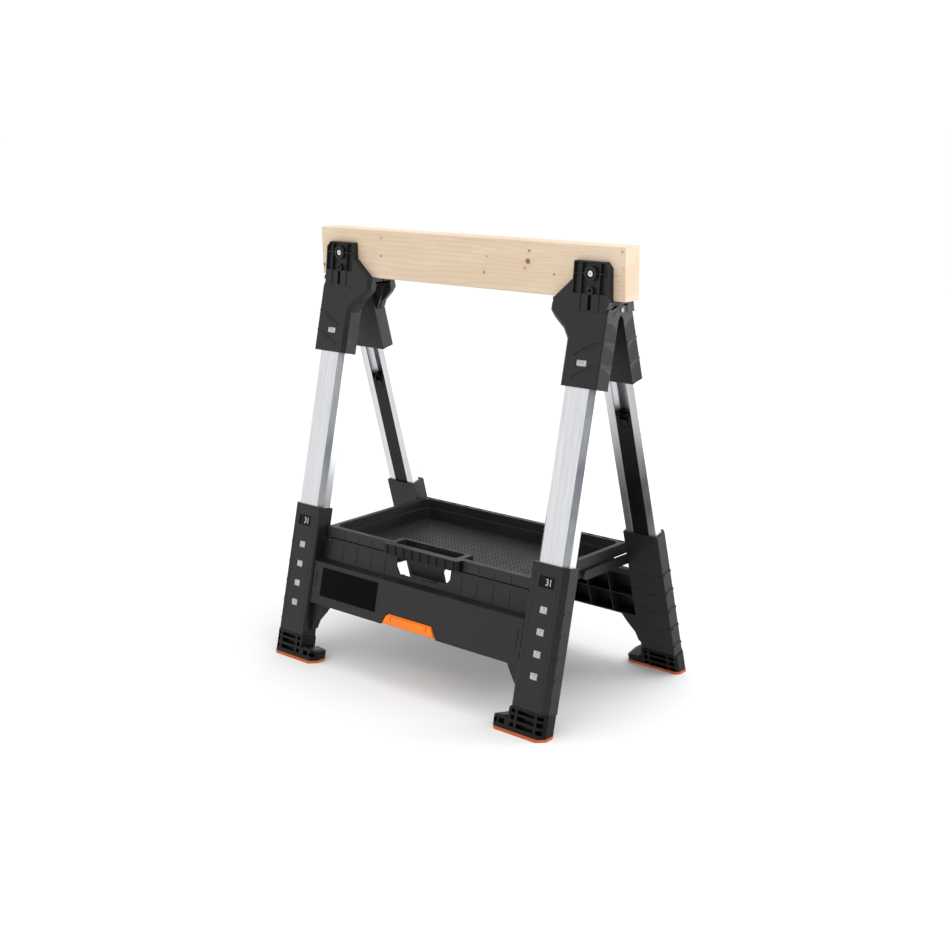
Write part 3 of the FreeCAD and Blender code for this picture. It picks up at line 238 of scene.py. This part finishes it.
def pine():
    """Planed softwood: growth rings about a heart outside the timber, fibres and knots."""
    paint = Paint("pine_planed")
    place = paint.place()
    core, halo = knot_masks(paint, place)
    drift = paint.noise(paint.stretch(place, (1.0, 5.0, 5.0)), 2.2, 2.0, 0.4)
    ripple = paint.noise(paint.stretch(place, (0.4, 1.0, 1.0)), 34.0, 3.0, 0.5)
    across = paint.stretch(paint.subtract(place, PITH), (0.0, 1.0, 1.0))
    radius = paint.math("ADD", paint.length(across), paint.math("MULTIPLY", drift, 0.036))
    radius = paint.math("ADD", radius, paint.math("MULTIPLY", ripple, 0.007))
    radius = paint.math("ADD", radius, paint.math("MULTIPLY", halo, 0.004))
    phase = paint.math("FRACT", paint.math("DIVIDE", radius, RING_PITCH))
    late = paint.math("MULTIPLY", paint.fit(phase, 0.2, 0.85), paint.fit(phase, 1.0, 0.88))
    fibre = paint.noise(paint.stretch(place, (0.02, 1.0, 1.0)), 900.0, 4.0, 0.65)
    streak = paint.fit(paint.noise(paint.stretch(place, (0.035, 1.0, 1.0)), 240.0, 3.0, 0.6), 0.5, 0.75)
    flecks = paint.fit(paint.noise(paint.stretch(place, (0.06, 1.0, 1.0)), 420.0, 2.0, 0.5), 0.6, 0.78)
    cloud = paint.fit(paint.noise(paint.stretch(place, (0.3, 1.0, 1.0)), 18.0, 3.0, 0.6), 0.35, 0.65)
    base = paint.mix(cloud, (0.70, 0.555, 0.41), (0.75, 0.62, 0.475))
    band = paint.math("MULTIPLY", late, paint.fit(cloud, 0.0, 1.0, 0.42, 0.16))
    base = paint.mix(band, base, (0.64, 0.45, 0.27))
    base = paint.mix(paint.math("MULTIPLY", streak, 0.22), base, (0.66, 0.46, 0.27))
    base = paint.mix(paint.math("MULTIPLY", paint.fit(fibre, 0.4, 0.75), 0.2), base, (0.60, 0.44, 0.29))
    base = paint.mix(paint.math("MULTIPLY", flecks, 0.12), base, (0.50, 0.31, 0.16))
    base = paint.mix(paint.math("MULTIPLY", halo, 0.22), base, (0.62, 0.40, 0.22))
    base = paint.mix(core, base, (0.14, 0.06, 0.025))
    rounded = paint.round_edges(0.0012)
    height = paint.math("ADD", fibre, paint.math("MULTIPLY", late, -0.4))
    roughness = paint.fit(fibre, 0.3, 0.7, 0.5, 0.66)
    return paint.finish(base, roughness, paint.bump(height, 0.00012, rounded), Specular_IOR_Level=0.3)


def rubber(name, colour, pale):
    """Matt elastomer with a fine stipple and dusty patches."""
    paint = Paint(name)
    place = paint.place()
    fine = paint.noise(place, 900.0, 3.0, 0.6)
    dust = paint.fit(paint.noise(place, 60.0, 5.0, 0.7), 0.45, 0.75)
    base = paint.mix(dust, colour, pale)
    roughness = paint.fit(fine, 0.3, 0.7, 0.62, 0.8)
    return paint.finish(base, roughness, paint.bump(fine, 0.00008, paint.round_edges(0.0008)))


CHARCOAL = moulded("charcoal_plastic", (0.0085, 0.0080, 0.0090), (0.0125, 0.0120, 0.0135), 0.44,
                   Specular_IOR_Level=0.34)
BLACK = moulded("black_gloss_plastic", (0.0025, 0.0024, 0.0025), (0.005, 0.0048, 0.005), 0.38,
                grain=700.0, depth=0.00003, wear=0.5, edge=0.0009, Specular_IOR_Level=0.2)
TRAY_GREY = moulded("tray_plastic", (0.0105, 0.0098, 0.0088), (0.0165, 0.0155, 0.0140), 0.44,
                    grain=1100.0, depth=0.00006, Specular_IOR_Level=0.36)
ORANGE = moulded("orange_plastic", (0.88, 0.19, 0.003), (0.95, 0.25, 0.006), 0.32,
                 grain=1300.0, depth=0.00002, wear=0.15, Specular_IOR_Level=0.35)
BADGE = moulded("badge_black", (0.0008, 0.0008, 0.0009), (0.0014, 0.0014, 0.0015), 0.38,
                grain=2000.0, depth=0.00001, wear=0.2, Specular_IOR_Level=0.04)
PINE = pine()
SOLE = rubber("orange_sole", (0.50, 0.105, 0.018), (0.42, 0.13, 0.045))
STEEL = polished_steel("zinc_steel", (0.74, 0.75, 0.77), 0.22)
STEEL_DULL = polished_steel("steel_dull", (0.20, 0.20, 0.21), 0.42)
SCALE_BRIGHT = printed("scale_bright", (0.46, 0.465, 0.49), (0.60, 0.61, 0.635), 0.35)
SCALE_BLACK = printed("scale_black", (0.003, 0.003, 0.003), (0.006, 0.006, 0.006), 0.4,
                      Specular_IOR_Level=0.12)
PRINT_WHITE = printed("print_white", (0.50, 0.50, 0.47), (0.60, 0.60, 0.57), 0.4)
PRINT_DARK = printed("print_dark", (0.17, 0.17, 0.18), (0.25, 0.25, 0.26), 0.45)
ALUMINIUM = {"front": brushed_aluminium("aluminium_front", LEAN),
             "rear": brushed_aluminium("aluminium_rear", -LEAN)}


NAMED_FINISHES = {"beam": PINE, "latch": ORANGE, "badge_plate": BADGE,
                  "tray": TRAY_GREY, "tray_guard": TRAY_GREY, "tray_handle": BLACK,
                  "clamp_bolts": STEEL, "link_pins": STEEL, "tray_pins": STEEL, "latch_pin": STEEL,
                  "hinge_pins": STEEL_DULL, "latch_keeper": BLACK}
FINISHES_BY_WORD = {"pad": SOLE, "foot": BLACK, "runner": BLACK, "lock_tab": BLACK,
                    "scale_plates": SCALE_BLACK, "scale_strips": SCALE_BRIGHT}


def material_of(node):
    """The finish of a CAD node, by its name."""
    if node in NAMED_FINISHES:
        return NAMED_FINISHES[node]
    if "tube" in node:
        return ALUMINIUM[node.split("_")[0]]
    for word, material in FINISHES_BY_WORD.items():
        if word in node:
            return material
    return CHARCOAL


def dress_cad_nodes():
    for name, thing in frame["nodes"].items():
        thing.data.materials.clear()
        thing.data.materials.append(material_of(name))


# ---- small details ------------------------------------------------------------------------
def leaned(end):
    """Matrix from upright leg coordinates (u, -t, -s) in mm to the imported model's frame."""
    turn = Matrix.Rotation(-LEAN, 4, "X")
    if end == "rear":
        turn = Matrix.Rotation(math.pi, 4, "Z") @ turn
    return Matrix.Translation((0.0, 0.0, PIN_Z)) @ turn @ Matrix.Scale(MM, 4)


IN_MM = Matrix.Scale(MM, 4)


class Detail:
    """A mesh piece put together from small solids given in mm."""

    def __init__(self, name):
        self.name = name
        self.points = []
        self.faces = []

    def prism(self, lower, upper):
        """A solid between two outlines, which run anticlockwise as seen from the upper one."""
        first = len(self.points)
        count = len(lower)
        self.points += list(lower) + list(upper)
        self.faces.append([first + i for i in reversed(range(count))])
        self.faces.append([first + count + i for i in range(count)])
        for i in range(count):
            j = (i + 1) % count
            self.faces.append([first + i, first + j, first + count + j, first + count + i])

    def bar(self, start, end, width, out, height):
        """A low ridge along a line on a face: a tapered bar whose top is narrower than its root."""
        start, end, out = Vector(start), Vector(end), Vector(out).normalized()
        across = (end - start).cross(out).normalized()
        ahead = (end - start).normalized()
        root, top = width / 2, width / 3
        lower = [start - across * root, start + across * root, end + across * root, end - across * root]
        lift = out * height
        draw = ahead * (root - top)
        upper = [start - across * top + lift + draw, start + across * top + lift + draw,
                 end + across * top + lift - draw, end - across * top + lift - draw]
        self.prism([point - out * EXTRA for point in lower], upper)

    def path(self, points, width, out, height):
        for start, end in zip(points, points[1:]):
            self.bar(start, end, width, out, height)

    def build(self, material, body, matrix):
        mesh = bpy.data.meshes.new(self.name)
        mesh.from_pydata([matrix @ Vector(point) for point in self.points], [], self.faces)
        mesh.update()
        piece = bpy.data.objects.new(self.name, mesh)
        bpy.context.collection.objects.link(piece)
        mesh.materials.append(material)
        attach(piece, body)
        return piece


def leg_point(u, t, s):
    return Vector((u, -t, -s))


OUTWARD = Vector((0.0, -1.0, 0.0))      # leg coordinates, away from the other frame
SIDEWAYS = Vector((1.0, 0.0, 0.0))


# Lower legs: windows, numerals, ribs
LEG_FACE_T = 38.5
LEG_OUTER_U = 337.0
LEG_CHAMFER = 9.0
LEG_INNER_T = 6.5
HEIGHT_STEP = 37.5
SCALE_WINDOW_S = 462.0
WINDOWS_S = [509.0 + i * HEIGHT_STEP for i in range(4)]
RIDGES_S = WINDOWS_S + [659.0]
INNER_WAVE = ((337.0, 2), (326.0, 2), (318.0, 9), (289.0, 9), (281.0, 3), (264.0, 3))
COLLAR_U = (264.0, 327.0)           # seam across the mouth of a leg
COLLAR_S = 436.0
FRONT_SEAMS_U = (LEG_CENTRE - 27.0, LEG_CENTRE + 22.5)
FRONT_SEAMS_S = (446.0, 672.0)
STRIP_FACE_T = 36.3
PLATE_FACE_T = 37.3
NUMERAL_SIZE = 16.5
NUMERAL_WEIGHT = 0.12


def add_numerals(end, side):
    """The working height in inches on the label of the top window."""
    curve = bpy.data.curves.new("numeral", "FONT")
    curve.body = "31"
    curve.size = NUMERAL_SIZE
    curve.extrude = 0.08
    curve.offset = NUMERAL_WEIGHT
    curve.align_x = "CENTER"
    curve.align_y = "CENTER"
    text = bpy.data.objects.new("numeral", curve)
    bpy.context.collection.objects.link(text)
    upright = Matrix.Translation(leg_point(side * LEG_CENTRE + 3.0, PLATE_FACE_T, SCALE_WINDOW_S + 1.0))
    narrow = Matrix.Diagonal((0.86, 1.0, 1.0, 1.0))
    text.matrix_world = leaned(end) @ upright @ Matrix.Rotation(math.pi / 2, 4, "X") @ narrow
    bpy.context.view_layer.update()
    mesh = bpy.data.meshes.new_from_object(text.evaluated_get(bpy.context.evaluated_depsgraph_get()))
    mesh.transform(text.matrix_world)
    bpy.data.objects.remove(text)
    piece = bpy.data.objects.new(f"{end}_numerals_{'right' if side > 0 else 'left'}", mesh)
    bpy.context.collection.objects.link(piece)
    mesh.materials.clear()
    mesh.materials.append(PRINT_WHITE)
    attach(piece, end + "_frame")


def add_scale_marks(end):
    """Short printed strokes on the bright plate behind each small window."""
    marks = Detail(end + "_scale_marks")
    for side in SIDES:
        for number, s in enumerate(WINDOWS_S):
            centre = side * LEG_CENTRE
            for row in (-2.2, 1.6):
                reach = 4.2 if (number + (row > 0)) % 2 else 3.0
                marks.bar(leg_point(centre - reach, STRIP_FACE_T, s + row),
                          leg_point(centre + reach, STRIP_FACE_T, s + row), 1.1, OUTWARD, 0.06)
            marks.bar(leg_point(centre + 6.2, STRIP_FACE_T, s - 3.6),
                      leg_point(centre + 6.2, STRIP_FACE_T, s + 3.6), 0.9, OUTWARD, 0.06)
    marks.build(PRINT_DARK, end + "_frame", leaned(end))


def add_leg_ribs(end):
    """Thin ribs that carry each side ridge over the chamfer, and waves across the inner face."""
    ribs = Detail(end + "_leg_ribs")
    for side in SIDES:
        outer = side * LEG_OUTER_U
        inner = side * (LEG_OUTER_U - LEG_CHAMFER)
        for s in RIDGES_S:
            ribs.bar(leg_point(outer, LEG_FACE_T - LEG_CHAMFER, s), leg_point(inner, LEG_FACE_T, s),
                     1.4, SIDEWAYS * side + OUTWARD, 0.5)
            wave = [leg_point(side * u, LEG_INNER_T, s + drop) for u, drop in INNER_WAVE]
            ribs.path(wave, 1.2, -OUTWARD, 0.45)
            ribs.bar(leg_point(outer, LEG_INNER_T + 1, s + 2), leg_point(outer, LEG_INNER_T + 5, s + 2),
                     2.0, SIDEWAYS * side, 0.6)
    ribs.build(CHARCOAL, end + "_frame", leaned(end))


def add_collar_seams(end):
    """Fine parting line round the mouth of each lower leg and two runs down its front."""
    seams = Detail(end + "_leg_seams")
    for side in SIDES:
        for u in FRONT_SEAMS_U:
            start, end_point = [leg_point(side * u, LEG_FACE_T, s) for s in FRONT_SEAMS_S]
            seams.bar(start, end_point, 0.7, OUTWARD, 0.25)
        start, end_point = [leg_point(side * u, LEG_FACE_T, COLLAR_S) for u in COLLAR_U]
        seams.bar(start, end_point, 1.0, OUTWARD, 0.35)
    seams.build(CHARCOAL, end + "_frame", leaned(end))


# Brackets: window label, side ribs, hatching
BRACKET_FACE_T = 38.0
BRACKET_WINDOW_U = (290.0, 312.0)
BRACKET_WINDOW_S = (90.5, 100.5)
BRACKET_WINDOW_DEPTH = 4.0
LABEL_THICKNESS = 2.2
LABEL_MARGIN = 0.6
BRACKET_RIDGES_S = (60.0, 97.5)
SIDE_RIB_BANDS_S = ((26.0, 56.5), (63.5, 94.0), (101.0, 134.5))
FIRST_SIDE_RIB_T = 7.5
SIDE_RIB_STEP = 2.3
SIDE_RIBS = {"front": 13, "rear": 11}
SHOULDER_S = 12.0                   # how much lower the ribs start at the inner edge
SHOULDER_SLOPE = 0.6
HATCH_COUNT = 9
HATCH_STEP = 3.2
HATCH_OUTER_U = 331.0
WAVE_BEND_U = 326.0                 # where the wavy groove turns down
PIN_BLOCK_Y = -27.5
PIN_BLOCK_STEP = 2.6
PIN_BLOCK_Z = (705.2, 711.4)


def add_bracket_label(end):
    """Bright label in each bracket's small window, with two printed lines."""
    u0, u1 = BRACKET_WINDOW_U
    s0, s1 = BRACKET_WINDOW_S
    floor_t = BRACKET_FACE_T - BRACKET_WINDOW_DEPTH
    face_t = floor_t + LABEL_THICKNESS
    plate = Detail(end + "_bracket_labels")
    marks = Detail(end + "_bracket_label_marks")
    for side in SIDES:
        middle = side * (u0 + u1) / 2
        half = (u1 - u0) / 2 - LABEL_MARGIN
        top, low = s0 + LABEL_MARGIN, s1 - LABEL_MARGIN
        outline = [(middle - half, low), (middle + half, low), (middle + half, top), (middle - half, top)]
        plate.prism([leg_point(u, floor_t - EXTRA, s) for u, s in outline],
                    [leg_point(u, face_t, s) for u, s in outline])
        for s in (s0 + 3.6, s0 + 6.2):
            marks.bar(leg_point(middle - 6.5, face_t, s), leg_point(middle + 5.0, face_t, s),
                      1.0, OUTWARD, 0.06)
    plate.build(SCALE_BRIGHT, end + "_upper", leaned(end))
    marks.build(PRINT_DARK, end + "_upper", leaned(end))


def add_bracket_ribs(end):
    """Fine upright ribs on the brackets' outer sides, hatching beside the wavy grooves."""
    ribs = Detail(end + "_bracket_ribs")
    outer = BRACKET_X[end]
    for side in SIDES:
        for i in range(SIDE_RIBS[end]):
            t = FIRST_SIDE_RIB_T + i * SIDE_RIB_STEP
            for s0, s1 in SIDE_RIB_BANDS_S:
                start = s0 + max(0.0, SHOULDER_S - t * SHOULDER_SLOPE)
                ribs.bar(leg_point(side * outer, t, start), leg_point(side * outer, t, s1),
                         1.1, SIDEWAYS * side, 0.28)
        for s in BRACKET_RIDGES_S:
            for i in range(HATCH_COUNT):
                u = HATCH_OUTER_U - i * HATCH_STEP
                low = s + 3.5 + max(0.0, WAVE_BEND_U - u) * 0.5
                ribs.bar(leg_point(side * u, BRACKET_FACE_T, low),
                         leg_point(side * (u - 4.5), BRACKET_FACE_T, low + 7.0), 0.8, OUTWARD, 0.22)
    ribs.build(CHARCOAL, end + "_upper", leaned(end))


def add_pin_block_hatch():
    """Diagonal ribs beside the timber's end and a slanting edge down to each hinge pin."""
    hatch = Detail("pin_block_ribs")
    low, high = PIN_BLOCK_Z
    for side in SIDES:
        face = side * BRACKET_X["front"]
        out = SIDEWAYS * side
        for i in range(HATCH_COUNT):
            y = PIN_BLOCK_Y + i * PIN_BLOCK_STEP
            hatch.bar((face, y, low), (face, y + 3.4, high), 1.0, out, 0.35)
        hatch.path([(face, -25.0, 688.0), (face, -4.5, 702.0)], 1.4, out, 0.5)
    hatch.build(CHARCOAL, "front_upper", IN_MM)


# Tray: raised dots on the floor
TRAY_FLOOR_Z = 212.0
DOT_PITCH = 8.4
DOT_LENGTH = 2.4
DOT_WIDTH = 1.2
DOT_HEIGHT = 0.7
DOT_SLANT = 0.75                    # rise over run of a lozenge
DOT_CROWN = 0.35                    # its top's size against its root's
FLOOR_X = 226.0
FLOOR_Y = (-106.0, 112.0)
GRIP_HOUSING = (94.0, -90.0)        # half width and rear edge of the finger slot's housing


def add_tray_dots():
    """Small raised lozenges in staggered rows that turn left and right by turns."""
    dots = Detail("tray_floor_dots")
    rows = int((FLOOR_Y[1] - FLOOR_Y[0]) / (DOT_PITCH / 2))
    columns = int(2 * FLOOR_X / DOT_PITCH)
    for row in range(rows + 1):
        y = FLOOR_Y[0] + row * DOT_PITCH / 2
        for column in range(columns + 1):
            x = -FLOOR_X + (column + (row % 2) / 2) * DOT_PITCH
            if abs(x) > FLOOR_X or (abs(x) < GRIP_HOUSING[0] and y < GRIP_HOUSING[1]):
                continue
            turn = 1 if (row + column) % 2 else -1
            along = Vector((1.0, turn * DOT_SLANT, 0.0)).normalized()
            across = Vector((-along.y, along.x, 0.0))
            middle = Vector((x, y, TRAY_FLOOR_Z - EXTRA))
            ring = [middle - along * DOT_LENGTH, middle - across * DOT_WIDTH,
                    middle + along * DOT_LENGTH, middle + across * DOT_WIDTH]
            top = middle + Vector((0.0, 0.0, DOT_HEIGHT))
            crown = [top + (point - middle) * DOT_CROWN for point in ring]
            dots.prism(ring, crown)
    dots.build(TRAY_GREY, "tray_body", IN_MM)


def build_details():
    for end in ENDS:
        for side in SIDES:
            add_numerals(end, side)
        add_scale_marks(end)
        add_leg_ribs(end)
        add_collar_seams(end)
        add_bracket_label(end)
        add_bracket_ribs(end)
    add_pin_block_hatch()
    add_tray_dots()


# ---- floor, light and camera --------------------------------------------------------------
def plain(name, colour, roughness):
    """A plain matt material."""
    material = bpy.data.materials.new(name)
    material.use_nodes = True
    shader = material.node_tree.nodes["Principled BSDF"]
    shader.inputs["Base Color"].default_value = (*colour, 1.0)
    shader.inputs["Roughness"].default_value = roughness
    shader.inputs["Specular IOR Level"].default_value = 0.0
    return material


def add_floor():
    """Plain pale floor under the feet."""
    bpy.ops.mesh.primitive_plane_add(size=60.0, location=(0.0, 0.0, 0.0))
    floor = bpy.context.object
    floor.name = "floor"
    floor.data.materials.append(plain("floor_white", (0.92, 0.92, 0.92), 0.7))


def add_flag(name, place, size):
    """Dark cloth, out of the camera's sight, that puts contrast into the metal."""
    bpy.ops.mesh.primitive_plane_add(size=size, location=place)
    flag = bpy.context.object
    flag.name = name
    flag.rotation_euler = (Vector((0.0, 0.0, 0.45)) - Vector(place)).to_track_quat("Z", "Y").to_euler()
    flag.data.materials.append(plain(name, (0.03, 0.05, 0.075), 0.9))
    flag.visible_camera = False
    flag.visible_shadow = False
    flag.visible_diffuse = False


def add_area_light(name, location, target, size, power):
    """Soft box aimed at a point."""
    data = bpy.data.lights.new(name, "AREA")
    data.shape = "DISK"
    data.size = size
    data.energy = power
    light = bpy.data.objects.new(name, data)
    light.location = location
    light.rotation_euler = (Vector(target) - Vector(location)).to_track_quat("-Z", "Y").to_euler()
    bpy.context.collection.objects.link(light)


def add_world(strength):
    """Even pale surroundings."""
    world = bpy.data.worlds.new("studio")
    world.use_nodes = True
    background = world.node_tree.nodes["Background"]
    background.inputs["Color"].default_value = (1.0, 1.0, 1.0, 1.0)
    background.inputs["Strength"].default_value = strength
    bpy.context.scene.world = world
    bpy.context.scene.view_settings.view_transform = "Standard"


CAMERA_PLACE = Vector((1.8200, -1.9893, 1.0572))
CAMERA_YAW = math.radians(42.35)
CAMERA_PITCH = math.radians(-14.441)
CAMERA_ROLL = math.radians(-1.121)
CAMERA_LENS = 57.364
SENSOR = 36.0


def add_camera():
    """Three-quarter view from the front right, slightly above the beam."""
    forward = Vector((-math.sin(CAMERA_YAW) * math.cos(CAMERA_PITCH),
                      math.cos(CAMERA_YAW) * math.cos(CAMERA_PITCH), math.sin(CAMERA_PITCH)))
    right = Vector((math.cos(CAMERA_YAW), math.sin(CAMERA_YAW), 0.0))
    up = right.cross(forward)
    rolled_right = right * math.cos(CAMERA_ROLL) + up * math.sin(CAMERA_ROLL)
    rolled_up = up * math.cos(CAMERA_ROLL) - right * math.sin(CAMERA_ROLL)
    data = bpy.data.cameras.new("camera")
    data.lens = CAMERA_LENS
    data.sensor_width = SENSOR
    camera = bpy.data.objects.new("camera", data)
    axes = Matrix((rolled_right, rolled_up, -forward)).transposed()
    camera.matrix_world = Matrix.Translation(CAMERA_PLACE) @ axes.to_4x4()
    bpy.context.collection.objects.link(camera)
    bpy.context.scene.camera = camera


dress_cad_nodes()
build_details()
add_floor()
add_flag("front_flag", (3.4, -2.9, 1.1), 3.2)
add_world(1.1)
add_area_light("top", (0.8, 0.4, 3.0), (0.0, 0.0, 0.3), 1.8, 20.0)
add_area_light("side", (2.7, 2.6, 0.5), (0.2, 0.0, 0.5), 1.6, 40.0)
add_camera()
